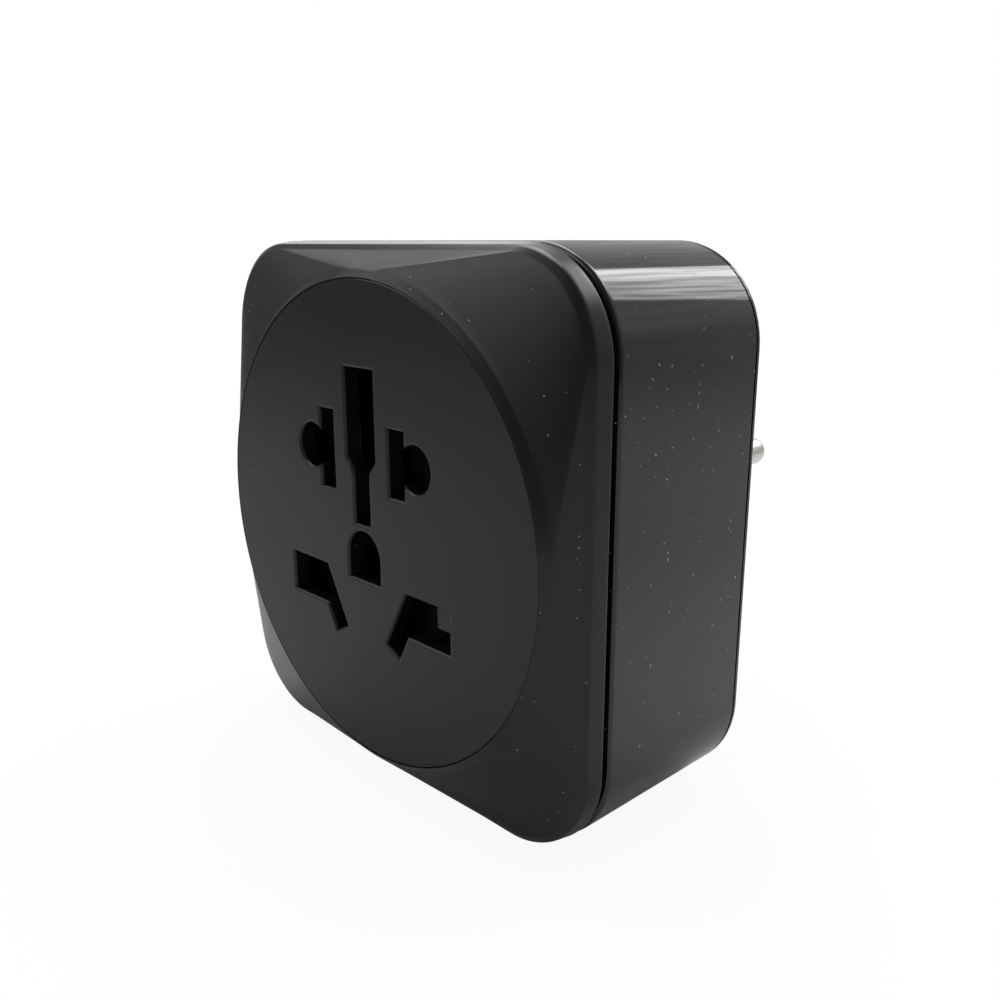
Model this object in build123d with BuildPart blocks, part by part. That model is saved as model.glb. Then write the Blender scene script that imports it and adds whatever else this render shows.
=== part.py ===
from build123d import *
from math import cos, radians, sin
import os

os.makedirs("parts", exist_ok=True)

# Travel adapter: a square socket block with a two-pin round plug on its back.
# Millimetres. The origin is the centre of the plug's mating face. +Y runs into
# the wall, +Z is up and the socket face looks along -Y. Every "depth" is counted
# from the face of the socket disc towards the wall, and every height on the
# socket side is counted from the centre of the disc.

# Case
case_w = 62.1
case_h = 63.0
corner_r = 11.05
wall = 2.0
cover_depth = 6.15
seam_gap = 0.75
seam_step = 1.05
lip_len = 1.9
shell_len = 22.2
rear_gap = 0.15
rear_rim = 0.75
spigot_len = 1.5
rear_round = 0.5
fit_gap = 0.12

# Front cover form: a bevelled round crest, slopes that fall away to the square outline, and a shoulder
crest_w = 0.05
crest_flat = 0.06
band_w = 0.5
band_drop = 0.38
slope_depth = 3.4
slope_inset = 1.0
slope_r = 10.5
shoulder_depth = 3.9
shoulder_inset = 0.35
seat_t = 1.4
seat_w = 2.6
cavity_r = 16.0

# Socket disc and its holes
disc_d = 55.3
disc_gap = 0.12
disc_t = 2.0
lip_round = 0.38
rim_bevel = 0.12
row_z = 8.4
blade_pitch = 12.7
blade_slot_w = 2.6
line_slot_h = 7.45
neutral_slot_h = 9.15
round_pitch = 18.8
round_hole_d = 5.15
earth_slot_w = 5.2
earth_slot_top = 18.1
earth_slot_neck = 8.2
neck_drop = 2.1
neck_w = 2.75
neck_bottom = 0.5
ground_w = 5.8
ground_top = -0.35
ground_bottom = -6.17
wide_pitch = 22.2
wide_z = -8.33
wide_w = 7.2
wide_h = 4.9
slant_pitch = 13.47
slant_z = -9.85
slant_w = 2.45
slant_len = 7.8
slant_angle = 28.0
block_w = 2.3
block_h = 2.6
block_drop = 0.2
block_bevel = 0.3

# Safety shutter and its return spring
run_gap = 0.3
shutter_t = 2.4
shutter_lap = 0.3
strut_w = 1.8
ramp = 1.5
spring_d = 1.9
spring_wire = 0.3
spring_turns = 15
spring_slot = 5.4
spring_seat_t = 0.9

# Contact carrier and its lid
carrier_w = 37.4
carrier_top = 20.5
carrier_room = 0.65
carrier_front_t = 1.6
carrier_len = 15.8
chamber_top = 15.0
chamber_bottom = -16.0
chamber_wall = 1.4
chamber_lap = 0.02
pocket_w = 22.0
hole_ease = 0.15
rail_w = 1.3
stop_t = 1.4
lid_t = 1.6
lid_screw_in = 3.9
lid_screw_drop = 2.7
lid_screw_rise = 6.7
ear_z = 9.0
ear_edge = 1.55
ear_h = 6.4
ear_t = 2.0
ear_boss_r = 2.5

# Contacts, busbars and rivets, and the blades that the clips grip
blade_t = 1.5
wide_blade_t = 4.0
grip = 0.2
leaf_t = 0.5
leaf_h = 6.0
leaf_lead = 0.8
lead_len = 3.0
leaf_front = 10.2
wide_leaf_w = 5.4
slant_leaf_w = 5.0
base_t = 0.6
bar_t = 0.8
bar_edge = 1.8
rivet_r = 0.8
rivet_head_r = 1.4
rivet_head_t = 0.4

# Plug
plug_rise = 1.0
boss_w = 35.3
boss_h = 13.7
boss_len = 17.3
boss_wall = 2.0
boss_end_t = 3.0
pin_pitch = 19.0
pin_len = 19.0
pin_d = 4.0
shank_d = 2.6
pin_clear = 0.05
sleeve_len = 10.0
sleeve_d = 3.5
sleeve_collar_r = 2.7
sleeve_collar_t = 1.0
pin_head_r = 2.2
pin_head_t = 0.6

# Screws
pillar_drop = 5.95
pillar_r = 2.6
pillar_end = 22.6
case_screw_d = 2.2
case_head_r = 1.9
case_head_t = 1.6
case_screw_len = 12.0
socket_r = 2.9
recess_depth = 4.5
cross_len = 2.2
cross_w = 0.5
cross_depth = 0.7
small_screw_d = 2.0
small_head_r = 1.9
small_head_t = 1.4
lid_screw_len = 8.0
ear_screw_len = 5.2
thread_ease = 0.05

# Places that follow from the sizes
case_depth = cover_depth + seam_gap + shell_len + rear_gap + rear_rim
front_y = -(boss_len + case_depth)
centre_z = -plug_rise
shell_front = cover_depth + seam_gap
shell_back = shell_front + shell_len
rim_front = shell_back + rear_gap
spigot_front = rim_front - spigot_len
head_seat = case_depth - recess_depth
disc_r = disc_d / 2
crest_in_r = disc_r + disc_gap
crest_r = crest_in_r + crest_w
band_r = crest_r + band_w
seat_back = disc_t + seat_t
shutter_front = seat_back + run_gap
shutter_back = shutter_front + shutter_t
carrier_front = shutter_back + run_gap
carrier_back = carrier_front + carrier_len
chamber_front = carrier_front + carrier_front_t
lid_back = carrier_back + lid_t
carrier_bottom = wall + carrier_room - case_h / 2
pillar_x = carrier_w / 2 + run_gap + socket_r
pillar_z = case_h / 2 - wall - pillar_drop
ear_x = case_w / 2 - wall - ear_edge - ear_boss_r
pin_x = pin_pitch / 2
ground_r = ground_w / 2
slant_cos = cos(radians(slant_angle))
slant_sin = sin(radians(slant_angle))


def at_depth(depth, height=0.0):
    """Plane that faces the user, at a depth behind the disc's face and a height on the disc."""
    return Plane(origin=(0, front_y + depth, centre_z + height), x_dir=(1, 0, 0), z_dir=(0, -1, 0))


def on_plug(y):
    """Plane that faces the user, centred on the plug's axis at a distance y from its mating face."""
    return Plane(origin=(0, y, 0), x_dir=(1, 0, 0), z_dir=(0, -1, 0))


def rounded_case(inset):
    """Case outline, drawn in by an inset all round."""
    RectangleRounded(case_w - 2 * inset, case_h - 2 * inset, corner_r - inset)


def upper_hole(side, slot_h, ease):
    """Flat-blade slot merged with the round-pin hole, on one side of the disc."""
    with Locations((side * blade_pitch / 2, row_z)):
        Rectangle(blade_slot_w + 2 * ease, slot_h + 2 * ease)
    with Locations((side * round_pitch / 2, row_z)):
        Circle(round_hole_d / 2 + ease)


def lower_hole(side, ease):
    """Wide rectangular hole merged with the slanted blade slot, on one side of the disc."""
    wide_in = (wide_pitch - wide_w) / 2 - ease
    wide_out = (wide_pitch + wide_w) / 2 + ease
    top = wide_z + wide_h / 2 + ease
    foot = wide_z - wide_h / 2 - ease
    half_w = slant_w / 2 + ease
    half_len = slant_len / 2 + ease
    tip_x = slant_pitch / 2 - half_len * slant_sin
    tip_z = slant_z - half_len * slant_cos
    low_x = tip_x + half_w * slant_cos
    low_z = tip_z - half_w * slant_sin
    join_x = low_x + (foot - low_z) * slant_sin / slant_cos
    with BuildLine() as outline:
        Polyline(
            (side * wide_out, top),
            (side * wide_in, top),
            (side * (tip_x - half_w * slant_cos), tip_z + half_w * slant_sin),
            (side * low_x, low_z),
            (side * join_x, foot),
            (side * wide_out, foot),
            close=True,
        )
    make_face(outline.edges())


def centre_slot(ease):
    """Tall earth slot that narrows below its neck, as one closed outline."""
    half = earth_slot_w / 2 + ease
    thin = neck_w / 2 + ease
    top = earth_slot_top + ease
    neck = earth_slot_neck
    throat = earth_slot_neck - neck_drop
    foot = neck_bottom - ease
    with BuildLine() as outline:
        Polyline((-thin, throat), (-thin, foot), (thin, foot), (thin, throat))
        Spline((thin, throat), (half, neck), tangents=((0, 1), (0.5, 1)))
        Polyline((half, neck), (half, top), (-half, top), (-half, neck))
        Spline((-half, neck), (-thin, throat), tangents=((0.5, -1), (0, -1)))
    make_face(outline.edges())


def ground_hole(ease):
    """Hole with a round top and a flat foot."""
    r = ground_r + ease
    shoulder = ground_top - ground_r
    foot = ground_bottom - ease
    with BuildLine() as outline:
        Polyline((r, shoulder), (r, foot), (-r, foot), (-r, shoulder))
        ThreePointArc((-r, shoulder), (0, shoulder + r), (r, shoulder))
    make_face(outline.edges())


# Front cover: soft black moulding that frames the disc, with four screw pillars
# and four bosses for the carrier behind it.
pillar_spots = [(x, z) for x in (-pillar_x, pillar_x) for z in (-pillar_z, pillar_z)]
ear_spots = [(x, z) for x in (-ear_x, ear_x) for z in (-ear_z, ear_z)]
with BuildPart() as front_cover:
    with BuildSketch(at_depth(0)):
        RectangleRounded(2 * crest_r, 2 * crest_r, crest_r - crest_flat / 2)
    with BuildSketch(at_depth(band_drop)):
        RectangleRounded(2 * band_r, 2 * band_r, band_r - crest_flat / 2)
    loft(ruled=True)
    with BuildSketch(at_depth(band_drop)):
        RectangleRounded(2 * band_r, 2 * band_r, band_r - crest_flat / 2)
    with BuildSketch(at_depth(slope_depth)):
        RectangleRounded(case_w - 2 * slope_inset, case_h - 2 * slope_inset, slope_r)
    loft(ruled=True)
    with BuildSketch(at_depth(slope_depth)):
        RectangleRounded(case_w - 2 * slope_inset, case_h - 2 * slope_inset, slope_r)
    with BuildSketch(at_depth(shoulder_depth)):
        rounded_case(shoulder_inset)
    loft(ruled=True)
    with BuildSketch(at_depth(shoulder_depth)):
        rounded_case(shoulder_inset)
    with BuildSketch(at_depth(cover_depth)):
        rounded_case(0)
    loft(ruled=True)
    with BuildSketch(at_depth(-1)):
        Circle(crest_in_r)
    extrude(amount=-(1 + disc_t), mode=Mode.SUBTRACT)
    with BuildSketch(at_depth(disc_t)):
        Circle(crest_in_r - seat_w)
    extrude(amount=-cover_depth, mode=Mode.SUBTRACT)
    with BuildSketch(at_depth(seat_back)):
        RectangleRounded(case_w - 2 * wall, case_h - 2 * wall, cavity_r)
    extrude(amount=-cover_depth, mode=Mode.SUBTRACT)
    with BuildSketch(at_depth(cover_depth)):
        rounded_case(seam_step - fit_gap)
    extrude(amount=lip_len - seam_gap + fit_gap, mode=Mode.SUBTRACT)
    with BuildSketch(at_depth(seat_back)):
        with Locations(*pillar_spots):
            Circle(pillar_r)
    extrude(amount=-(pillar_end - seat_back))
    with BuildSketch(at_depth(seat_back)):
        with Locations(*ear_spots):
            Circle(ear_boss_r)
    extrude(amount=-(carrier_front - seat_back))
    with BuildSketch(at_depth(pillar_end)):
        with Locations(*pillar_spots):
            Circle(case_screw_d / 2 + thread_ease)
    extrude(amount=case_screw_len, mode=Mode.SUBTRACT)
    with BuildSketch(at_depth(carrier_front)):
        with Locations(*ear_spots):
            Circle(small_screw_d / 2 + thread_ease)
    extrude(amount=ear_screw_len - ear_t + fit_gap, mode=Mode.SUBTRACT)

front_cover.part.label = "front_cover"
export_step(front_cover.part, "parts/front_cover.step")

# Socket disc: flat round plate with the holes for every plug. Their lips are rounded, and a small
# block fills the upper outer corner of the lower right hole.
block_in = (wide_pitch + wide_w) / 2 - block_w
block_low = wide_z + wide_h / 2 - block_h
with BuildPart() as socket_disc:
    with BuildSketch(at_depth(0)):
        Circle(disc_r)
    extrude(amount=-disc_t)
    with BuildSketch(at_depth(0)):
        upper_hole(-1, neutral_slot_h, 0)
        upper_hole(1, line_slot_h, 0)
        lower_hole(-1, 0)
        lower_hole(1, 0)
        centre_slot(0)
        ground_hole(0)
    extrude(amount=-disc_t, mode=Mode.SUBTRACT)
    lips = [edge for wire in socket_disc.faces().sort_by(Axis.Y)[0].inner_wires() for edge in wire.edges()]
    fillet(lips, lip_round)
    chamfer(socket_disc.faces().sort_by(Axis.Y)[0].outer_wire().edges(), rim_bevel)
    for depth, bevel in ((block_drop, block_bevel), (block_drop + block_bevel, 0)):
        with BuildSketch(at_depth(depth)):
            with Locations((block_in + bevel, block_low + bevel)):
                Rectangle(block_w + block_bevel - bevel, block_h + block_bevel - bevel, align=(Align.MIN, Align.MIN))
    loft()
    with BuildSketch(at_depth(block_drop + block_bevel)):
        with Locations((block_in, block_low)):
            Rectangle(block_w + block_bevel, block_h + block_bevel, align=(Align.MIN, Align.MIN))
    extrude(amount=-(disc_t - block_drop - block_bevel))

socket_disc.part.label = "socket_disc"
export_step(socket_disc.part, "parts/socket_disc.step")

# Body shell: glossy square sleeve. Its front lip stands in the cover and is the floor of the seam.
with BuildPart() as body_shell:
    with BuildSketch(at_depth(shell_front)):
        rounded_case(0)
    extrude(amount=-shell_len)
    with BuildSketch(at_depth(shell_front)):
        rounded_case(seam_step)
    extrude(amount=lip_len)
    with BuildSketch(at_depth(shell_front - lip_len)):
        rounded_case(wall)
    extrude(amount=-(shell_len + lip_len), mode=Mode.SUBTRACT)

body_shell.part.label = "body_shell"
export_step(body_shell.part, "parts/body_shell.step")

# Rear cover: plate that closes the shell, with the hollow plug boss and four screw sockets.
socket_len = spigot_front - pillar_end - fit_gap
with BuildPart() as rear_cover:
    with BuildSketch(at_depth(rim_front)):
        rounded_case(0)
    extrude(amount=-rear_rim)
    fillet(rear_cover.faces().sort_by(Axis.Y)[-1].edges(), rear_round)
    with BuildSketch(at_depth(rim_front)):
        rounded_case(wall + fit_gap)
    extrude(amount=spigot_len)
    with BuildSketch(on_plug(-boss_len)):
        SlotOverall(boss_w, boss_h)
    extrude(amount=-boss_len)
    fillet(rear_cover.faces().sort_by(Axis.Y)[-1].edges(), rear_round)
    with BuildSketch(on_plug(-boss_end_t)):
        SlotOverall(boss_w - 2 * boss_wall, boss_h - 2 * boss_wall)
    extrude(amount=boss_len + rear_rim + spigot_len, mode=Mode.SUBTRACT)
    with BuildSketch(at_depth(spigot_front)):
        with Locations(*pillar_spots):
            Circle(socket_r)
    extrude(amount=socket_len)
    with BuildSketch(at_depth(case_depth)):
        with Locations(*pillar_spots):
            Circle(case_head_r + run_gap)
    extrude(amount=recess_depth, mode=Mode.SUBTRACT)
    with BuildSketch(at_depth(case_depth)):
        with Locations(*pillar_spots):
            Circle(case_screw_d / 2 + thread_ease)
    extrude(amount=case_depth, mode=Mode.SUBTRACT)
    with BuildSketch(on_plug(0)):
        with Locations((-pin_x, 0), (pin_x, 0)):
            Circle(sleeve_d / 2 + pin_clear)
    extrude(amount=boss_end_t, mode=Mode.SUBTRACT)

rear_cover.part.label = "rear_cover"
export_step(rear_cover.part, "parts/rear_cover.step")

# Safety shutter: one plate that covers the four live holes, and slides down to open them.
upper_low = row_z - neutral_slot_h / 2 - hole_ease
upper_high = row_z + neutral_slot_h / 2 - hole_ease
shutter_travel = upper_high - upper_low + hole_ease
lower_high = wide_z + wide_h / 2 + shutter_lap
shutter_in_x = blade_pitch / 2 - blade_slot_w / 2 - shutter_lap
shutter_half = wide_pitch / 2 + wide_w / 2 + shutter_lap + strut_w
slant_drop = (slant_len * slant_cos + slant_w * slant_sin) / 2
shutter_low = slant_z - slant_drop - shutter_lap
bridge_high = ground_bottom - 2 * shutter_lap
spring_top = shutter_low + spring_slot
spring_foot = carrier_bottom + spring_seat_t
with BuildPart() as safety_shutter:
    with BuildSketch(at_depth(shutter_front)):
        with Locations((0, (shutter_low + upper_high) / 2)):
            Rectangle(2 * shutter_half, upper_high - shutter_low)
        with Locations((0, (bridge_high + upper_high) / 2)):
            Rectangle(2 * shutter_in_x, upper_high - bridge_high, mode=Mode.SUBTRACT)
        with Locations((0, (lower_high + upper_low) / 2)):
            Rectangle(2 * (shutter_half - strut_w), upper_low - lower_high, mode=Mode.SUBTRACT)
        with Locations((0, shutter_low + spring_slot / 2)):
            Rectangle(spring_d + 2 * run_gap, spring_slot, mode=Mode.SUBTRACT)
    extrude(amount=-shutter_t)
    for top, reach in ((upper_high, shutter_half), (lower_high, shutter_half - strut_w)):
        with BuildSketch(Plane.YZ):
            with BuildLine():
                Polyline(
                    (front_y + shutter_front, centre_z + top),
                    (front_y + shutter_front + ramp, centre_z + top),
                    (front_y + shutter_front, centre_z + top - ramp),
                    close=True,
                )
            make_face()
        extrude(amount=reach, both=True, mode=Mode.SUBTRACT)

safety_shutter.part.label = "safety_shutter"
export_step(safety_shutter.part, "parts/safety_shutter.step")

# Return spring of the shutter: a coil that stands on the carrier's foot and lifts the shutter.
spring_y = front_y + (shutter_front + shutter_back) / 2
spring_len = spring_top - spring_foot - 2 * spring_wire
coil_r = (spring_d - spring_wire) / 2
with BuildPart() as shutter_spring:
    with BuildLine(Plane(origin=(0, spring_y, centre_z + spring_foot + spring_wire))) as coil:
        Helix(pitch=spring_len / spring_turns, height=spring_len, radius=coil_r)
    with BuildSketch(coil.line ^ 0):
        Circle(spring_wire / 2)
    sweep(path=coil.line, is_frenet=True)

shutter_spring.part.label = "shutter_spring"
export_step(shutter_spring.part, "parts/shutter_spring.step")

# Contact carrier: moulded block with the two contact chambers, the tunnels for the earth pins,
# the rails and stops of the shutter on its front, and four ears that screw to the cover.
inner_x = ground_r + hole_ease + chamber_wall
core_low = ground_bottom - hole_ease - chamber_wall
chamber_x = carrier_w / 2 - chamber_wall
rail_x = shutter_half + run_gap
rail_low = shutter_low - shutter_travel - run_gap
stop_high = upper_high + run_gap / 2
lid_x = carrier_w / 2 - lid_screw_in
lid_spots = [(x, z) for x in (-lid_x, lid_x) for z in (carrier_bottom + lid_screw_rise, carrier_top - lid_screw_drop)]
with BuildPart() as contact_carrier:
    with BuildSketch(at_depth(carrier_front)):
        with Locations((0, (carrier_top + carrier_bottom) / 2)):
            Rectangle(carrier_w, carrier_top - carrier_bottom)
    extrude(amount=-carrier_len)
    with BuildSketch(at_depth(chamber_front)):
        for side in (-1, 1):
            with Locations((side * (inner_x + chamber_x) / 2, (chamber_top + core_low) / 2)):
                Rectangle(chamber_x - inner_x, chamber_top - core_low)
            with Locations((side * (chamber_wall + chamber_x) / 2, (core_low + chamber_bottom) / 2)):
                Rectangle(chamber_x - chamber_wall, core_low - chamber_bottom + chamber_lap)
    extrude(amount=-carrier_len, mode=Mode.SUBTRACT)
    with BuildSketch(at_depth(chamber_front)):
        with Locations((0, (chamber_bottom + carrier_bottom) / 2)):
            Rectangle(pocket_w, chamber_bottom - carrier_bottom - 2 * chamber_wall)
    extrude(amount=-carrier_len, mode=Mode.SUBTRACT)
    with BuildSketch(at_depth(carrier_front)):
        upper_hole(-1, neutral_slot_h, hole_ease)
        upper_hole(1, line_slot_h, hole_ease)
        lower_hole(-1, hole_ease)
        lower_hole(1, hole_ease)
    extrude(amount=-carrier_front_t, mode=Mode.SUBTRACT)
    with BuildSketch(at_depth(carrier_front)):
        centre_slot(hole_ease)
        ground_hole(hole_ease)
    extrude(amount=-carrier_len, mode=Mode.SUBTRACT)
    with BuildSketch(at_depth(carrier_front)):
        for side in (-1, 1):
            with Locations((side * (rail_x + rail_w / 2), (rail_low + stop_high) / 2)):
                Rectangle(rail_w, stop_high - rail_low + 2 * stop_t)
            with Locations((side * (rail_x + shutter_in_x) / 2, stop_high + stop_t / 2)):
                Rectangle(rail_x - shutter_in_x, stop_t)
            with Locations((side * (rail_x + spring_d) / 2, rail_low - stop_t / 2)):
                Rectangle(rail_x - spring_d, stop_t)
        with Locations((0, carrier_bottom + spring_seat_t / 2)):
            Rectangle(3 * spring_d, spring_seat_t)
    extrude(amount=carrier_front - shutter_front)
    with BuildSketch(at_depth(carrier_front)):
        for side in (-1, 1):
            for height in (-ear_z, ear_z):
                with Locations((side * (carrier_w / 2 + ear_x + ear_boss_r) / 2, height)):
                    Rectangle(ear_x + ear_boss_r - carrier_w / 2, ear_h)
    extrude(amount=-ear_t)
    with BuildSketch(at_depth(carrier_front)):
        with Locations(*ear_spots):
            Circle(small_screw_d / 2 + thread_ease)
    extrude(amount=-ear_t, mode=Mode.SUBTRACT)
    with BuildSketch(at_depth(carrier_back)):
        with Locations(*lid_spots):
            Circle(small_screw_d / 2 + thread_ease)
    extrude(amount=lid_screw_len, mode=Mode.SUBTRACT)

contact_carrier.part.label = "contact_carrier"
export_step(contact_carrier.part, "parts/contact_carrier.step")

# Carrier lid: plate that shuts the chambers, passes the two pins and leaves the earth tunnels open.
with BuildPart() as carrier_lid:
    with BuildSketch(at_depth(carrier_back)):
        with Locations((0, (carrier_top + carrier_bottom) / 2)):
            Rectangle(carrier_w, carrier_top - carrier_bottom)
    extrude(amount=-lid_t)
    with BuildSketch(at_depth(carrier_back)):
        centre_slot(hole_ease)
        ground_hole(hole_ease)
        with Locations(*lid_spots):
            Circle(small_screw_d / 2 + thread_ease)
        with Locations((-pin_x, plug_rise), (pin_x, plug_rise)):
            Circle(shank_d / 2 + pin_clear)
    extrude(amount=-lid_t, mode=Mode.SUBTRACT)

carrier_lid.part.label = "carrier_lid"
export_step(carrier_lid.part, "parts/carrier_lid.step")

# Contacts, for the neutral pole on the left and the line pole on the right. Each pole has an upper
# clip of three leaves behind the blade slot and the round hole, and a lower clip with two leaves for
# the wide blade and two slanted ones. The leaves stand closer than the blades they grip.
bar_back = carrier_back - rivet_head_t - fit_gap
bar_front = bar_back - bar_t
base_front = bar_front - base_t
base_y = front_y + base_front
tip_y = front_y + leaf_front
for side, pole in ((-1, "neutral"), (1, "line")):
    blade_x = side * blade_pitch / 2
    round_x = side * round_pitch / 2
    wide_x = side * wide_pitch / 2
    slant_x = side * slant_pitch / 2
    inner_leaf_x = blade_x - side * (blade_t / 2 - grip + leaf_t / 2)
    middle_leaf_x = blade_x + side * (blade_t / 2 + leaf_t / 2)
    outer_leaf_x = round_x + side * (pin_d / 2 - grip + leaf_t / 2)
    lead = side * leaf_lead
    with BuildPart() as upper_contact:
        with BuildSketch(Plane.XY.offset(centre_z + row_z - leaf_h / 2)):
            with BuildLine():
                Polyline((inner_leaf_x - lead, tip_y), (inner_leaf_x, tip_y + lead_len), (inner_leaf_x, base_y))
            trace(line_width=leaf_t)
            with BuildLine():
                Line((middle_leaf_x, tip_y + lead_len), (middle_leaf_x, base_y))
            trace(line_width=leaf_t)
            with BuildLine():
                Polyline((outer_leaf_x + lead, tip_y), (outer_leaf_x, tip_y + lead_len), (outer_leaf_x, base_y))
            trace(line_width=leaf_t)
            with Locations(((inner_leaf_x + outer_leaf_x) / 2, base_y + base_t / 2)):
                Rectangle(abs(outer_leaf_x - inner_leaf_x) + leaf_t, base_t)
        extrude(amount=leaf_h)
        with BuildSketch(at_depth(base_front)):
            with Locations((round_x, row_z)):
                Circle(rivet_r + thread_ease)
        extrude(amount=-base_t, mode=Mode.SUBTRACT)

    upper_contact.part.label = f"{pole}_upper_contact"
    export_step(upper_contact.part, f"parts/{pole}_upper_contact.step")

    wide_leaf_z = wide_blade_t / 2 - grip + leaf_t / 2
    wide_leaf_low_x = wide_x - wide_leaf_w / 2
    slant_leaf = blade_t / 2 - grip + leaf_t / 2
    with BuildPart() as lower_contact:
        with BuildSketch(Plane.YZ.offset(wide_leaf_low_x)):
            for turn in (-1, 1):
                height = centre_z + wide_z + turn * wide_leaf_z
                with BuildLine():
                    Polyline(
                        (tip_y, height + turn * leaf_lead / 2),
                        (tip_y + lead_len, height),
                        (base_y, height),
                    )
                trace(line_width=leaf_t)
        extrude(amount=wide_leaf_w)
        with BuildSketch(at_depth(base_front)):
            base_in = slant_x - side * 2 * slant_leaf
            base_out = wide_x + side * wide_leaf_w / 2
            with Locations(((base_in + base_out) / 2, wide_z)):
                Rectangle(abs(base_out - base_in), 2 * wide_leaf_z + leaf_t)
            with Locations((slant_x, slant_z)):
                Rectangle(2 * slant_leaf + leaf_t, slant_leaf_w, rotation=-side * slant_angle)
        extrude(amount=-base_t)
        with BuildSketch(at_depth(base_front)):
            with Locations(Location((slant_x, slant_z), -side * slant_angle)):
                with Locations((-slant_leaf, 0), (slant_leaf, 0)):
                    Rectangle(leaf_t, slant_leaf_w)
        extrude(amount=base_front - leaf_front - lead_len)
        with BuildSketch(at_depth(base_front)):
            with Locations((wide_x, wide_z)):
                Circle(rivet_r + thread_ease)
        extrude(amount=-base_t, mode=Mode.SUBTRACT)

    lower_contact.part.label = f"{pole}_lower_contact"
    export_step(lower_contact.part, f"parts/{pole}_lower_contact.step")

    # Busbar: flat strip behind both clips, with two rivet holes and the pin's hole.
    with BuildPart() as busbar:
        with BuildSketch(at_depth(bar_front)):
            with Locations(((round_x + wide_x) / 2, (row_z + wide_z) / 2)):
                Rectangle(abs(wide_x - round_x) + bar_edge * 2, row_z - wide_z + bar_edge * 2)
            with Locations((round_x, row_z), (wide_x, wide_z)):
                Circle(rivet_r + thread_ease, mode=Mode.SUBTRACT)
            with Locations((side * pin_x, plug_rise)):
                Circle(shank_d / 2 + pin_clear, mode=Mode.SUBTRACT)
        extrude(amount=-bar_t)

    busbar.part.label = f"{pole}_busbar"
    export_step(busbar.part, f"parts/{pole}_busbar.step")

    # Plug pin: brass rod with a head and a collar on the busbar, and a thick round-nosed tip.
    bar_y = front_y + bar_front
    with BuildPart() as plug_pin:
        with BuildSketch(Plane.XY):
            with BuildLine():
                nose = pin_len - pin_d / 2
                shank = shank_d / 2
                Polyline(
                    (0, nose + pin_d / 2),
                    (0, bar_y - pin_head_t),
                    (pin_head_r, bar_y - pin_head_t),
                    (pin_head_r, bar_y),
                    (shank, bar_y),
                    (shank, bar_y + bar_t),
                    (pin_head_r, bar_y + bar_t),
                    (pin_head_r, bar_y + bar_t + rivet_head_t),
                    (shank, bar_y + bar_t + rivet_head_t),
                    (shank, sleeve_len),
                    (pin_d / 2, sleeve_len),
                    (pin_d / 2, nose),
                )
                RadiusArc((pin_d / 2, nose), (0, nose + pin_d / 2), -pin_d / 2)
            make_face()
        revolve(axis=Axis.Y)
    plug_pin.part.label = f"{pole}_pin"
    export_step(plug_pin.part.moved(Location((side * pin_x, 0, 0))), f"parts/{pole}_pin.step")

# Rivets: four, each through a clip and its busbar.
rivet_spots = [(s * round_pitch / 2, row_z) for s in (-1, 1)] + [(s * wide_pitch / 2, wide_z) for s in (-1, 1)]
with BuildPart() as contact_rivets:
    with BuildSketch(at_depth(base_front)):
        with Locations(*rivet_spots):
            Circle(rivet_r)
    extrude(amount=-(base_t + bar_t))
    with BuildSketch(at_depth(base_front)):
        with Locations(*rivet_spots):
            Circle(rivet_head_r)
    extrude(amount=rivet_head_t)
    with BuildSketch(at_depth(bar_back)):
        with Locations(*rivet_spots):
            Circle(rivet_head_r)
    extrude(amount=-rivet_head_t)

contact_rivets.part.label = "contact_rivets"
export_step(contact_rivets.part, "parts/contact_rivets.step")

# Pin sleeves: two insulating tubes round the root of the pins, held by a collar inside the boss.
pin_spots = [(-pin_x, 0), (pin_x, 0)]
with BuildPart() as pin_sleeves:
    with BuildSketch(on_plug(-boss_end_t)):
        with Locations(*pin_spots):
            Circle(sleeve_d / 2)
    extrude(amount=-(boss_end_t + sleeve_len))
    with BuildSketch(on_plug(-boss_end_t)):
        with Locations(*pin_spots):
            Circle(sleeve_collar_r)
    extrude(amount=sleeve_collar_t)
    with BuildSketch(on_plug(-boss_end_t - sleeve_collar_t)):
        with Locations(*pin_spots):
            Circle(shank_d / 2 + pin_clear)
    extrude(amount=-(boss_end_t + sleeve_collar_t + sleeve_len), mode=Mode.SUBTRACT)

pin_sleeves.part.label = "pin_sleeves"
export_step(pin_sleeves.part, "parts/pin_sleeves.step")

# Case screws: four, from the rear cover's sockets into the pillars of the front cover.
with BuildPart() as case_screws:
    with BuildSketch(at_depth(head_seat)):
        with Locations(*pillar_spots):
            Circle(case_screw_d / 2)
    extrude(amount=case_screw_len)
    with BuildSketch(at_depth(head_seat)):
        with Locations(*pillar_spots):
            Circle(case_head_r)
    extrude(amount=-case_head_t)
    with BuildSketch(at_depth(head_seat + case_head_t)):
        with Locations(*pillar_spots):
            Rectangle(cross_len, cross_w)
            Rectangle(cross_w, cross_len)
    extrude(amount=cross_depth, mode=Mode.SUBTRACT)

case_screws.part.label = "case_screws"
export_step(case_screws.part, "parts/case_screws.step")

# Carrier screws: four, through the ears into the bosses of the front cover.
with BuildPart() as carrier_screws:
    with BuildSketch(at_depth(carrier_front + ear_t)):
        with Locations(*ear_spots):
            Circle(small_screw_d / 2)
    extrude(amount=ear_screw_len)
    with BuildSketch(at_depth(carrier_front + ear_t)):
        with Locations(*ear_spots):
            Circle(small_head_r)
    extrude(amount=-small_head_t)

carrier_screws.part.label = "carrier_screws"
export_step(carrier_screws.part, "parts/carrier_screws.step")

# Lid screws: four, through the lid into the carrier's corners.
with BuildPart() as lid_screws:
    with BuildSketch(at_depth(lid_back)):
        with Locations(*lid_spots):
            Circle(small_screw_d / 2)
    extrude(amount=lid_screw_len)
    with BuildSketch(at_depth(lid_back)):
        with Locations(*lid_spots):
            Circle(small_head_r)
    extrude(amount=-small_head_t)

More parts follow.
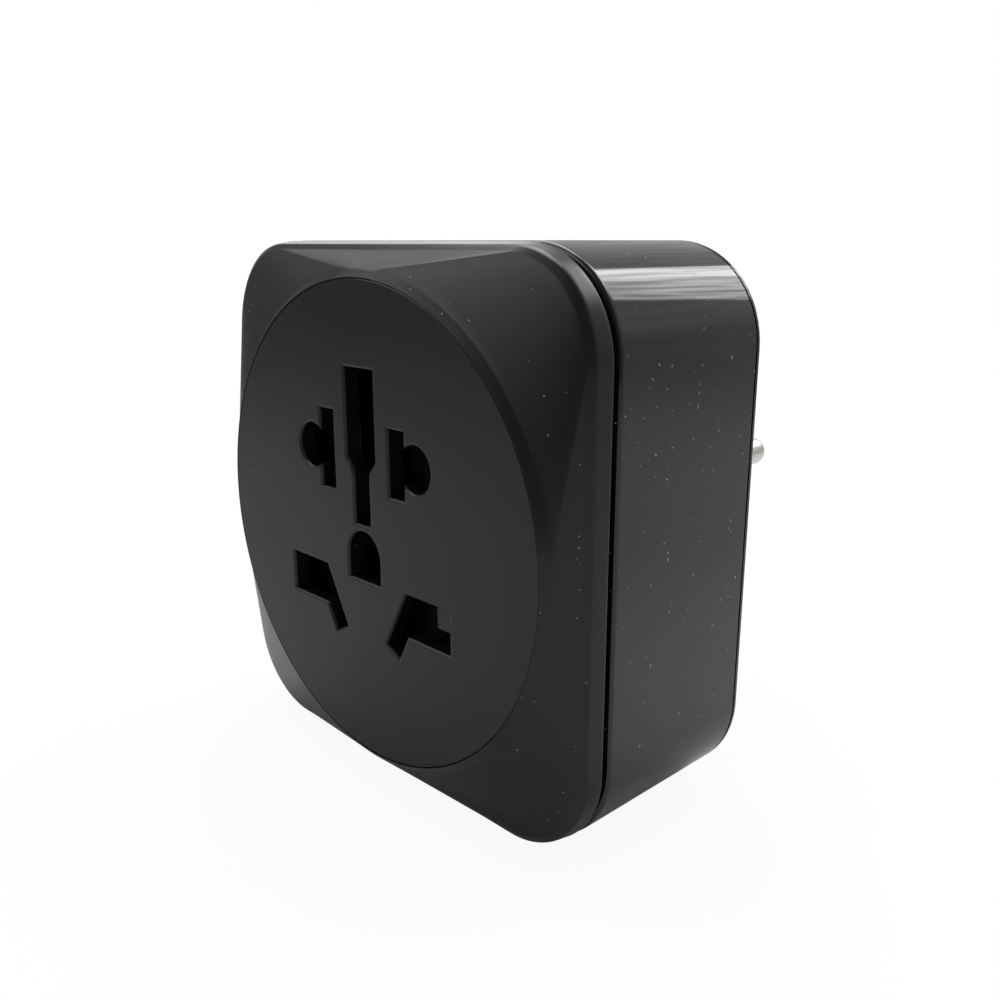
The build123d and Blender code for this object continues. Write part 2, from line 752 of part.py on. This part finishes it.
lid_screws.part.label = "lid_screws"
export_step(lid_screws.part, "parts/lid_screws.step")
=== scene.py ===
import math

import bmesh
import bpy
from mathutils import Matrix, Vector


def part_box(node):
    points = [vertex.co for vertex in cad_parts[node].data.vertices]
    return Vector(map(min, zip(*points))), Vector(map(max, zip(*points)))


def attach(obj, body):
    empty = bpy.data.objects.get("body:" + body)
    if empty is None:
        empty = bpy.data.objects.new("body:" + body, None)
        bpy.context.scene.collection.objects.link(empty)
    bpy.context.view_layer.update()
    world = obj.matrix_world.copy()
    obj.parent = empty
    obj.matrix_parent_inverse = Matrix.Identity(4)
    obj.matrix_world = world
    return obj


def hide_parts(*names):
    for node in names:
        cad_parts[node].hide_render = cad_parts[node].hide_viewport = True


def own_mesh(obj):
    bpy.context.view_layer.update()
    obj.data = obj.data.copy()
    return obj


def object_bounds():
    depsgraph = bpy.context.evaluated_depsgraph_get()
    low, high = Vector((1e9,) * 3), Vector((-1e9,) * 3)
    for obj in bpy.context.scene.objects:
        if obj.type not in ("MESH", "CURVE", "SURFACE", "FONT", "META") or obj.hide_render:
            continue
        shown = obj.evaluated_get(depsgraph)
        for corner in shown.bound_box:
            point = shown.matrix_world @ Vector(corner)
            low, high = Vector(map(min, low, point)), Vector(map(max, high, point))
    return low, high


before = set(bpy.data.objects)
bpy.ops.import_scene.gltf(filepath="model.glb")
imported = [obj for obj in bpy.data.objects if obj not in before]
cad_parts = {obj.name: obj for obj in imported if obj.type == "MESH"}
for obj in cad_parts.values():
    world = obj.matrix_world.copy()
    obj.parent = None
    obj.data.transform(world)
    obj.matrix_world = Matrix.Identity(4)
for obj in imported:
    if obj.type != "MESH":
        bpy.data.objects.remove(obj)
cad_low, cad_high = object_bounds()

# Front cover: one satin black moulding in hard plastic. A bevelled round crest frames the disc,
# flats and cones fall from it to the square outline, and a crisp shoulder turns into the side band.
# Four screw pillars and four bosses are moulded on its inside, and its rear edge faces the seam.
MM = 0.001  # sizes are millimetres: insets from the outline, depths behind the disc's face
FACE_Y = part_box("socket_disc")[0].y / MM
cover_low, cover_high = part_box("front_cover")
CENTRE_Z = (cover_low.z + cover_high.z) / 2 / MM
HALF_W = (cover_high.x - cover_low.x) / 2 / MM
HALF_H = (cover_high.z - cover_low.z) / 2 / MM
CORNER_R = 11.05
WALL = 2.0
COVER_DEPTH = 6.15
ROOF_DEPTH = 3.4
CAVITY_R = 16.0
SEAT_W, SEAT_DEPTH = 2.6, 2.0
STEP_INSET, STEP_DEPTH = 0.93, 4.58
CREST_IN_R = 27.69
BAND_R, BAND_DROP = 28.62, 0.72
SLOPE_INSET, SLOPE_DEPTH, SLOPE_R = 1.0, 3.4, 10.5
SLOPE_STEPS, SLOPE_FROM, SLOPE_SPAN = 14, 0.012, 0.965
FLAT_SPREAD = math.radians(1.5)  # the arc of the crest that one flat of the slope takes
SOFTEN = 0.14  # how far the slope's lines lean towards straight spokes
SHARP_EDGE = math.radians(40)

# Profiles: radius and depth for the round ones, inset, depth and corner radius for the shoulder,
# inset and depth for the rear edge.
CREST = ((CREST_IN_R, SEAT_DEPTH), (CREST_IN_R, 0.1), (CREST_IN_R + 0.02, 0.03),
         (CREST_IN_R + 0.1, 0.03), (BAND_R - 0.1, BAND_DROP - 0.1))
SHOULDER = ((0.97, 3.43, 10.5), (0.93, 3.47, 10.5), (0.52, 3.8, 10.64), (0.4, 3.92, 10.7),
            (0.33, 4.1, 10.75), (0.27, 4.45, 10.8), (0.14, 5.3, 10.95), (0.07, 5.75, 11.0),
            (0.08, 5.9, 11.0), (0.14, 6.02, 11.0), (0.24, 6.11, 11.0))
REAR_EDGE = ((0.38, COVER_DEPTH), (STEP_INSET, COVER_DEPTH), (STEP_INSET, STEP_DEPTH),
             (WALL, STEP_DEPTH))
PILLAR_X, PILLAR_Z = 21.9, 23.55
PILLAR = ((2.6, 3.0), (2.6, 22.6), (1.15, 22.6), (1.15, 10.6))
BOSS_X, BOSS_Z = 25.0, 9.0
BOSS = ((2.5, 3.0), (2.5, 6.4), (1.05, 6.4), (1.05, 3.08))


def case_outline(inset, corner, circle_r=0.0, share=1.0, straight=10, arc=60):
    """Points round the case, drawn towards their partners on a circle where share is under 1."""
    half_w, half_h = HALF_W - inset, HALF_H - inset
    quarter = []
    for i in range(straight):
        t = i / straight
        quarter.append(((half_w, (half_h - corner) * t), FLAT_SPREAD * t))
    for i in range(arc + 1):
        turn = math.pi / 2 * i / arc
        x, z = half_w - corner + corner * math.cos(turn), half_h - corner + corner * math.sin(turn)
        quarter.append(((x, z), FLAT_SPREAD + (math.pi / 2 - 2 * FLAT_SPREAD) * i / arc))
    for i in range(1, straight + 1):
        t = 1 - i / straight
        quarter.append((((half_w - corner) * t, half_h), math.pi / 2 - FLAT_SPREAD * t))
    quarter = [((x, z), turn * (1 - SOFTEN) + math.atan2(z, x) * SOFTEN)
               for (x, z), turn in quarter]
    upper = [(x * share + circle_r * math.cos(turn) * (1 - share),
              z * share + circle_r * math.sin(turn) * (1 - share)) for (x, z), turn in quarter]
    upper += [(-x, z) for x, z in upper[-2::-1]]
    return upper + [(-x, -z) for x, z in upper[1:-1]]


def place(depth, x, z):
    """A point in metres, from millimetres behind the disc's face and across it."""
    return Vector((x * MM, (FACE_Y + depth) * MM, (CENTRE_Z + z) * MM))


def case_ring(inset, depth, corner):
    """One ring of the case."""
    return [place(depth, x, z) for x, z in case_outline(inset, corner)]


def slope_ring(share):
    """One ring of the flats and cones, from 0 at the crest to 1 at the shoulder."""
    depth = BAND_DROP + (SLOPE_DEPTH - BAND_DROP) * share
    return [place(depth, x, z) for x, z in case_outline(SLOPE_INSET, SLOPE_R, BAND_R, share)]


def round_ring(radius, depth):
    """One ring of the round opening, with the case's own number of points."""
    return [place(depth, x, z) for x, z in case_outline(0, CORNER_R, radius, 0.0)]


def skin(mesh, rings, flat_ends=False):
    """Closed skin through rings of equally many points, back to the first or with flat ends."""
    made = [[mesh.verts.new(point) for point in ring] for ring in rings]
    for first, second in zip(made, made[1:] if flat_ends else made[1:] + made[:1]):
        for i in range(len(first)):
            mesh.faces.new((first[i - 1], first[i], second[i], second[i - 1]))
    if flat_ends:
        mesh.faces.new(made[0])
        mesh.faces.new(made[-1])


def turned(mesh, profile, x, z, sides=40):
    """Turned solid on an axis along Y, from pairs of radius and depth, with flat ends."""
    turns = [2 * math.pi * i / sides for i in range(sides)]
    skin(mesh, [[place(depth, x + radius * math.cos(a), z + radius * math.sin(a)) for a in turns]
                for radius, depth in profile], flat_ends=True)


def moulding(name, mesh):
    """Object with outward faces, crisp edges and even shading, from a mesh in the making."""
    bmesh.ops.recalc_face_normals(mesh, faces=mesh.faces)
    data = bpy.data.meshes.new(name)
    mesh.to_mesh(data)
    mesh.free()
    data.shade_smooth()
    data.set_sharp_from_angle(angle=SHARP_EDGE)
    piece = bpy.data.objects.new(name, data)
    piece.modifiers.new("even_shading", "WEIGHTED_NORMAL").keep_sharp = True
    bpy.context.scene.collection.objects.link(piece)
    return piece


cover = bmesh.new()
cover_rings = [round_ring(radius, depth) for radius, depth in CREST]
cover_rings += [slope_ring(SLOPE_FROM + SLOPE_SPAN * step / SLOPE_STEPS)
                for step in range(SLOPE_STEPS + 1)]
cover_rings += [case_ring(*ring) for ring in SHOULDER]
cover_rings += [case_ring(inset, depth, CORNER_R - inset) for inset, depth in REAR_EDGE]
cover_rings += [case_ring(WALL, STEP_DEPTH - 0.01, CAVITY_R), case_ring(WALL, ROOF_DEPTH, CAVITY_R)]
cover_rings += [round_ring(CREST_IN_R - SEAT_W, depth) for depth in (ROOF_DEPTH, SEAT_DEPTH)]
skin(cover, cover_rings)
for side_x in (-1, 1):
    for side_z in (-1, 1):
        turned(cover, PILLAR, side_x * PILLAR_X, side_z * PILLAR_Z)
        turned(cover, BOSS, side_x * BOSS_X, side_z * BOSS_Z)
front_cover = moulding("cover_moulding", cover)


class Wire:
    """A socket of a node tree. Arithmetic on wires adds Math nodes."""

    def __init__(self, tree, socket=None):
        self.tree = tree
        self.socket = socket

    def node(self, kind, settings=None, inputs=None, out=0):
        """Adds a node: its settings first, then its sockets' values or links. Gives one output."""
        made = self.tree.nodes.new(kind)
        for key, value in (settings or {}).items():
            setattr(made, key, value)
        for key, value in (inputs or {}).items():
            if isinstance(value, Wire):
                self.tree.links.new(value.socket, made.inputs[key])
            else:
                made.inputs[key].default_value = value
        return Wire(self.tree, made.outputs[out]) if made.outputs else None

    def maths(self, operation, first, second=0.0):
        return self.node("ShaderNodeMath", {"operation": operation}, {0: first, 1: second})

    def __add__(self, other):
        return self.maths("ADD", self, other)

    __radd__ = __add__

    def __mul__(self, other):
        return self.maths("MULTIPLY", self, other)

    __rmul__ = __mul__

    def __sub__(self, other):
        return self.maths("SUBTRACT", self, other)

    def __rsub__(self, other):
        return self.maths("SUBTRACT", other, self)

    def __gt__(self, other):
        return self.maths("GREATER_THAN", self, other)

    def __lt__(self, other):
        return self.maths("LESS_THAN", self, other)

    def between(self, low, high):
        """Soft step from 0 at low to 1 at high."""
        return self.node("ShaderNodeMapRange", {"interpolation_type": "SMOOTHSTEP"},
                         {0: self, 1: low, 2: high})


def new_finish(name):
    """Material with an empty node tree, the wire its nodes start from, and the object's spots."""
    made = bpy.data.materials.new(name)
    made.use_nodes = True
    made.node_tree.nodes.clear()
    start = Wire(made.node_tree)
    return made, start, start.node("ShaderNodeTexCoord", out=3)


def cloud(start, spot, cells, detail=2.0, rough=0.5):
    """Fractal noise from 0 to 1, with so many cells a metre."""
    return start.node("ShaderNodeTexNoise", None,
                      {"Vector": spot, "Scale": cells, "Detail": detail, "Roughness": rough})


def stretched(start, spot, scale):
    """Spots drawn out along the directions where the scale is small."""
    return start.node("ShaderNodeMapping", None, {"Vector": spot, "Scale": scale})


def blend(start, share, low, high):
    """Colour between two colours."""
    return start.node("ShaderNodeMix", {"data_type": "RGBA"}, {0: share, 6: low, 7: high}, out=2)


def tint(tone, factor):
    """A colour made lighter or darker, with full alpha."""
    return tuple(part * factor for part in tone) + (1,)


def bumps(start, depth, height):
    """Normal of a surface with bumps so many metres deep."""
    return start.node("ShaderNodeBump", None, {"Distance": depth, "Height": height})


def surfaced(made, start, sockets):
    """Ends a material in a Principled shader with these sockets."""
    shader = start.node("ShaderNodeBsdfPrincipled", None, sockets)
    start.node("ShaderNodeOutputMaterial", None, {"Surface": shader})
    return made


DUST_CELLS, DUST_BEND = 1500.0, (0.0005, 0.0003, 0.0005)
FLECK_LEAST, FLECK_SPREAD = 0.03, 0.13
PATCH_CELLS = 45.0


def dust(start, spot, keep):
    """Flecks of dust: few and unequal, each in a cell of a random lattice, gathered in patches."""
    bent = start.node("ShaderNodeTexNoise", None,
                      {"Vector": spot, "Scale": DUST_CELLS * 2.2, "Detail": 1.0}, out=1)
    moved = start.node("ShaderNodeVectorMath", {"operation": "MULTIPLY_ADD"},
                       {0: bent, 1: DUST_BEND, 2: spot})
    lattice = {"Vector": moved, "Scale": DUST_CELLS}
    near = start.node("ShaderNodeTexVoronoi", None, lattice)
    chance = start.node("ShaderNodeTexVoronoi", None, lattice, out=1)
    odds = start.node("ShaderNodeSeparateColor", None, {"Color": chance})
    size = start.node("ShaderNodeSeparateColor", None, {"Color": chance}, out=1)
    patch = cloud(start, spot, PATCH_CELLS, 1.0).between(0.4, 0.7)
    return (near < size * FLECK_SPREAD + FLECK_LEAST) * (odds < patch * keep + keep * 0.25)


SATIN_BLACK = (0.004, 0.0041, 0.0042)
SATIN_DUST = (0.2, 0.2, 0.19, 1)
SATIN_IOR = 1.45
DRIFT_CELLS = 55.0


def black_plastic(name, tone, rough, grain_depth, grain_cells, keep):
    """Black moulding: a tone and a polish that drift, a fine grain, and flecks of dust."""
    made, start, spot = new_finish(name)
    drift = cloud(start, spot, DRIFT_CELLS, 3.0)
    fleck = dust(start, spot, keep)
    body = blend(start, drift, tint(tone, 0.8), tint(tone, 1.2))
    fine = cloud(start, spot, grain_cells, 2.0, 0.6)
    return surfaced(made, start, {
        "Base Color": blend(start, fleck, body, SATIN_DUST),
        "Roughness": (drift - 0.5) * 0.08 + rough + fleck * 0.3,
        "Normal": bumps(start, grain_depth, fine + fleck * 2.0),
        "IOR": SATIN_IOR})


front_cover.data.materials.append(black_plastic(
    "satin_cover", SATIN_BLACK, rough=0.27, grain_depth=0.000004, grain_cells=9000.0, keep=0.16))
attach(front_cover, "adapter")
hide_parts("front_cover")

# Socket disc: a flat moulding in the same black plastic with a matter face, clipped behind the
# crest. Its six holes have rounded lips, and it is the part that the plugs are pushed through.


def dress(finish, *names):
    """Gives solids of the model their finish."""
    for name in names:
        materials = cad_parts[name].data.materials
        materials.clear()
        materials.append(finish)


dress(black_plastic(
    "matt_disc", SATIN_BLACK, rough=0.34, grain_depth=0.000005, grain_cells=9000.0, keep=0.1),
      "socket_disc")

# Body shell: a square sleeve, moulded in black plastic and polished, between the cover and the rear
# plate. Its front lip stands in the cover and is the floor of the seam; the case screws hold it.
LIP_INSET, LIP_FRONT = 1.05, 5.0
SHELL_BACK = 29.1
SHELL = ((LIP_INSET, LIP_FRONT), (LIP_INSET, 5.8), (LIP_INSET, 6.6), (0.98, 6.7), (0.6, 6.79),
         (0.3, 6.87), (0.13, 6.96), (0.04, 7.08), (0.01, 7.2), (0.0, 7.4), (0.0, 12.5),
         (0.0, 18.0), (0.0, 23.5), (0.0, 28.9), (0.02, 29.03), (0.08, SHELL_BACK),
         (0.9, SHELL_BACK), (WALL, SHELL_BACK), (WALL, 17.0), (WALL, LIP_FRONT))
SHELL_BLACK, REAR_BLACK = (0.003, 0.003, 0.0032), (0.0035, 0.0035, 0.0037)
GLOSS_DUST = (0.27, 0.27, 0.255, 1)
GLOSS_IOR = 1.58
FLOW_CELLS, HAIR_CELLS, FLOW_STRETCH = 260.0, 2600.0, (1.0, 0.06, 1.0)

shell = bmesh.new()
skin(shell, [case_ring(inset, depth, CORNER_R - inset) for inset, depth in SHELL])
body_shell = moulding("shell_sleeve", shell)


def polished_plastic(name, tone):
    """Polished black: a clear deep gloss with faint moulding flow, hair scratches and dust."""
    made, start, spot = new_finish(name)
    drawn = stretched(start, spot, FLOW_STRETCH)
    flow = cloud(start, drawn, FLOW_CELLS)
    hair = cloud(start, drawn, HAIR_CELLS, 1.0).between(0.62, 0.75)
    fleck = dust(start, spot, 0.35)
    body = blend(start, flow, tint(tone, 0.8), tint(tone, 1.2))
    return surfaced(made, start, {
        "Base Color": blend(start, fleck, body, GLOSS_DUST),
        "Roughness": flow * 0.04 + hair * 0.05 + fleck * 0.3 + 0.03,
        "Normal": bumps(start, 0.000006, flow + hair * 0.03 + fleck * 1.2),
        "IOR": GLOSS_IOR})


body_shell.data.materials.append(polished_plastic("polished_shell", SHELL_BLACK))
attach(body_shell, "adapter")
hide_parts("body_shell")

# Rear cover: a polished black plate moulded in one with the hollow plug boss. Four screws in deep
# recesses draw it, the shell and the front cover together.
dress(polished_plastic("polished_rear", REAR_BLACK), "rear_cover")

# Insides: the sliding shutter, the contact carrier and its lid, all plain black mouldings straight
# from the tool. The carrier is screwed to the cover's bosses, and the shutter slides on its front.
# Their black is darker than the case's: black plastic plus painted shade for the dark inside the
# holes.
INNER_BLACK_AND_PAINTED_SHADE = (0.0015, 0.0015, 0.0016)


def dull_plastic(name, tone, rough):
    """Black moulding that is never polished: coarse grain and pale scuffs."""
    made, start, spot = new_finish(name)
    grain = cloud(start, spot, 2200.0, 3.0, 0.6)
    scuff = cloud(start, spot, 180.0, 4.0).between(0.6, 0.75)
    body = blend(start, grain, tint(tone, 0.7), tint(tone, 1.3))
    return surfaced(made, start, {
        "Base Color": blend(start, scuff * 0.3, body, tint(tone, 2.2)),
        "Roughness": grain * 0.1 + rough,
        "Normal": bumps(start, 0.00001, grain),
        "Specular IOR Level": 0.12})


dress(dull_plastic("shutter_moulding", INNER_BLACK_AND_PAINTED_SHADE, rough=0.55), "safety_shutter")
dress(dull_plastic("carrier_moulding", INNER_BLACK_AND_PAINTED_SHADE, rough=0.6), "contact_carrier", "carrier_lid")

# Return spring: a coil of bright steel wire that stands on the carrier's foot and lifts the
# shutter. In the real adapter it shortens towards its foot as the shutter slides down; here it is
# built at one length. Sizes in metres.
WIRE_R, COIL_TURNS, TURN_STEPS, WIRE_SIDES = 0.15 * MM, 15, 28, 10
SPRING_STEEL = (0.6, 0.6, 0.62)
ROUND = (1, 1, 1)
spring_low, spring_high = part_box("shutter_spring")
coil_foot = Vector(((spring_low.x + spring_high.x) / 2, (spring_low.y + spring_high.y) / 2,
                    spring_low.z + WIRE_R))
coil_r = (spring_high.x - spring_low.x) / 2 - WIRE_R
coil_rise = spring_high.z - spring_low.z - 2 * WIRE_R
coil_steps = COIL_TURNS * TURN_STEPS

coil = bmesh.new()
coil_rings = []
for step in range(coil_steps + 1):
    turn = 2 * math.pi * step / TURN_STEPS
    outward = Vector((math.cos(turn), math.sin(turn), 0))
    along = Vector((-coil_r * math.sin(turn), coil_r * math.cos(turn),
                    coil_rise / (2 * math.pi * COIL_TURNS))).normalized()
    beside = along.cross(outward)
    centre = coil_foot + outward * coil_r + Vector((0, 0, coil_rise * step / coil_steps))
    coil_rings.append([centre + (outward * math.cos(a) + beside * math.sin(a)) * WIRE_R
                       for a in (2 * math.pi * i / WIRE_SIDES for i in range(WIRE_SIDES))])
skin(coil, coil_rings, flat_ends=True)
return_spring = moulding("return_coil", coil)


def bright_metal(name, tone, rough, cells, stretch):
    """Bare or plated metal: drawing marks, a drifting polish and a faint tarnish."""
    made, start, spot = new_finish(name)
    marks = cloud(start, stretched(start, spot, stretch), cells, 3.0, 0.6)
    tarnish = cloud(start, spot, 240.0, 4.0).between(0.45, 0.8)
    body = blend(start, marks, tint(tone, 0.9), tint(tone, 1.06))
    return surfaced(made, start, {
        "Base Color": blend(start, tarnish * 0.5, body, tint(tone, 0.62)),
        "Metallic": 1.0,
        "Roughness": marks * 0.12 + tarnish * 0.12 + rough,
        "Normal": bumps(start, 0.000004, marks)})


return_spring.data.materials.append(
    bright_metal("spring_wire", SPRING_STEEL, rough=0.22, cells=3000.0, stretch=ROUND))
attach(return_spring, "adapter")
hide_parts("shutter_spring")
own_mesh(return_spring)

# Contacts: clips and busbars stamped from brass strip and bent. Each clip is riveted to its busbar,
# and the carrier's chambers and lid hold them in place.
STRIP_BRASS, RIVET_BRASS = (0.78, 0.6, 0.32), (0.74, 0.56, 0.3)
STRIP_DRAWN = (1, 0.1, 1)
dress(bright_metal("stamped_brass", STRIP_BRASS, rough=0.26, cells=3000.0, stretch=STRIP_DRAWN),
      "neutral_upper_contact", "neutral_lower_contact", "neutral_busbar",
      "line_upper_contact", "line_lower_contact", "line_busbar")
dress(bright_metal("rivet_brass", RIVET_BRASS, rough=0.3, cells=2500.0, stretch=ROUND),
      "contact_rivets")

# Plug pins: turned from brass rod with round noses, nickel plated, and held in the rear cover.
# Black plastic sleeves insulate them at the root.
NICKEL, SLEEVE_BLACK = (0.78, 0.77, 0.74), (0.006, 0.006, 0.006)
TURNED_MARKS = (0.1, 1, 0.1)
dress(bright_metal("nickel_plate", NICKEL, rough=0.2, cells=2500.0, stretch=TURNED_MARKS),
      "line_pin", "neutral_pin")
dress(black_plastic(
    "pin_sleeve", SLEEVE_BLACK, rough=0.35, grain_depth=0.000004, grain_cells=6000.0, keep=0.02),
      "pin_sleeves")

# Screws: cold headed steel with a zinc plate. Four hold the case from behind, with a cross in their
# heads, and four each hold the carrier and its lid.
ZINC = (0.55, 0.55, 0.57)
dress(bright_metal("zinc_plate", ZINC, rough=0.3, cells=1500.0, stretch=ROUND),
      "case_screws", "carrier_screws", "lid_screws")

# Table top: a round sheet of pale paper that the case stands on. It is nearly white to the camera
# and keeps a faint shadow.
# In the gloss of the case it carries painted shade: grey, darker further out. In metres.
TABLE_R, TABLE_SIDES = 0.42, 64
PALE, MIRRORED_PAINTED_SHADE = (0.78, 0.78, 0.78, 1), (0.3, 0.3, 0.3, 1)
WHITE = (1, 1, 1, 1)
CAMERA_SHARE = 0.93
floor_mesh = bmesh.new()
floor_mesh.faces.new([
    floor_mesh.verts.new((TABLE_R * math.cos(a), TABLE_R * math.sin(a), cad_low.z))
    for a in (2 * math.pi * i / TABLE_SIDES for i in range(TABLE_SIDES))])
floor = moulding("pale_floor", floor_mesh)


def rays(start, kind):
    """1 for one kind of ray and 0 for the others."""
    return start.node("ShaderNodeLightPath", out=kind)


CAMERA_RAY, DIFFUSE_RAY, GLOSSY_RAY, CLEAR_RAY = 0, 2, 3, 6
paper, start, spot = new_finish("pale_paper")
reach = start.node("ShaderNodeVectorMath", {"operation": "LENGTH"}, {0: spot}, out=1)
# Painted shade: for glossy rays only, the paper is greyed, more with distance from the case, in
# place of light falling off across the table.
shade = reach.between(0.05, 0.12) * 0.26 + reach.between(0.15, 0.4) * 0.32 + 0.42
tone = blend(start, shade * rays(start, GLOSSY_RAY), PALE, MIRRORED_PAINTED_SHADE)
matt = start.node("ShaderNodeBsdfDiffuse", None, {"Color": tone})
glow = start.node("ShaderNodeEmission", None, {"Color": WHITE, "Strength": 1.0})
mixed = start.node("ShaderNodeMixShader", None,
                   {0: rays(start, CAMERA_RAY) * CAMERA_SHARE, 1: matt, 2: glow})
start.node("ShaderNodeOutputMaterial", None, {"Surface": mixed})
floor.data.materials.append(paper)

# Studio: a plain room that is lighter behind the case, with soft boxes where the case mirrors them
# and a low fill for matt surfaces. The camera sees pure white in its place.
SOFT_BOXES = (
    # strength, azimuth from +Y, height, half widths across and up, feather, stripes
    (2.45, (9.3, 36, 0.205, 0.21, 0.014, 1.25)),
    (1.9, (1, 36, 0.08, 0.2, 0.03, 0.9)),
    (3.6, (20, 53, 0.32, 0.14, 0.08)),
    (1.9, (-61, 21, 0.26, 0.15, 0.1)),
    (1.5, (-138, 31, 0.42, 0.28, 0.25)),
    (4.2, (-70, 64, 0.38, 0.34, 0.06)),
)
ROOM_BACK = (0.35, 0.94, 0)
HAZE_STRETCH = (16.0, 2.0, 16.0)
FILL, GLOSS_FILL = 1.4, 0.08
world = bpy.data.worlds.new("studio")
bpy.context.scene.world = world
world.use_nodes = True
world.node_tree.nodes.clear()
start = Wire(world.node_tree)
gaze = start.node("ShaderNodeTexCoord", out=0)


def aimed(direction):
    """How far the gaze leans along a direction, from -1 to 1."""
    return start.node("ShaderNodeVectorMath", {"operation": "DOT_PRODUCT"},
                      {0: gaze, 1: direction}, out=1)


def soft_box(azimuth, height, half_across, half_up, feather, stripes=0.0):
    """Mask of a rectangular soft box, seen at an azimuth from +Y and a height, in degrees."""
    a, e = math.radians(azimuth), math.radians(height)
    across = aimed((math.cos(a), -math.sin(a), 0))
    up = aimed((-math.sin(a) * math.sin(e), -math.cos(a) * math.sin(e), math.cos(e)))
    ahead = aimed((math.sin(a) * math.cos(e), math.cos(a) * math.cos(e), math.sin(e)))
    inside = [start.maths("ABSOLUTE", lean).between(half + feather, half - feather)
              for lean, half in ((across, half_across), (up, half_up))]
    box = inside[0] * inside[1] * (ahead > 0)
    if stripes:
        drawn = start.node("ShaderNodeCombineXYZ", None,
                           {0: across * 30.0 + up * 3.0, 1: up * 9.0})
        lines = cloud(start, drawn, 1.0, 3.0)
        box = box * (lines.between(0.3, 0.7) * stripes + (1 - stripes / 2))
    return box


height = aimed((0, 0, 1))
behind = aimed(ROOM_BACK).between(-0.5, 0.7)
room = behind * 0.27 + 0.07 + height.between(0.02, 0.4) * behind * 0.22
haze = cloud(start, stretched(start, gaze, HAZE_STRETCH), 1.0, 3.0).between(0.3, 0.7) * 0.24 + 0.86
light = room * haze
for strength, box in SOFT_BOXES:
    light = light + soft_box(*box) * strength
light = light + rays(start, DIFFUSE_RAY) * (1 - height.between(0.0, 0.6)) * FILL
light = light + rays(start, GLOSSY_RAY) * GLOSS_FILL
seen = start.maths("MAXIMUM", rays(start, CAMERA_RAY), rays(start, CLEAR_RAY))
surround = start.node("ShaderNodeBackground", None,
                      {"Color": WHITE, "Strength": seen + (1 - seen) * light})
start.node("ShaderNodeOutputWorld", None, {"Surface": surround})

# Camera: in front of the case and to its right, level with its top and looking a little down.
# Its spot in millimetres, its angles in radians and its focal length come from fitting the photo.
CAMERA_SPOT = (86.771, FACE_Y - 61.624, 31.42 + CENTRE_Z)
CAMERA_YAW, CAMERA_PITCH, CAMERA_ROLL = -0.80708, -0.2598, -0.00025
FOCAL_PIXELS, PHOTO_PIXELS, SENSOR_MM = 974.525, 1000, 36.0
lens = bpy.data.cameras.new("photo_camera")
lens.sensor_width = SENSOR_MM
lens.lens = FOCAL_PIXELS / PHOTO_PIXELS * lens.sensor_width
lens.clip_start, lens.clip_end = 0.01, 10.0
camera = bpy.data.objects.new("photo_camera", lens)
forward = Vector((math.sin(CAMERA_YAW) * math.cos(CAMERA_PITCH),
                  math.cos(CAMERA_YAW) * math.cos(CAMERA_PITCH), math.sin(CAMERA_PITCH)))
right = Vector((math.cos(CAMERA_YAW), -math.sin(CAMERA_YAW), 0))
up = right.cross(forward)
tilted_right = right * math.cos(CAMERA_ROLL) + up * math.sin(CAMERA_ROLL)
tilted_up = up * math.cos(CAMERA_ROLL) - right * math.sin(CAMERA_ROLL)
turn = Matrix((tilted_right, tilted_up, -forward)).transposed()
camera.matrix_world = Matrix.Translation(Vector(CAMERA_SPOT) * MM) @ turn.to_4x4()
bpy.context.scene.collection.objects.link(camera)
bpy.context.scene.camera = camera
bpy.context.scene.view_settings.view_transform = "Standard"
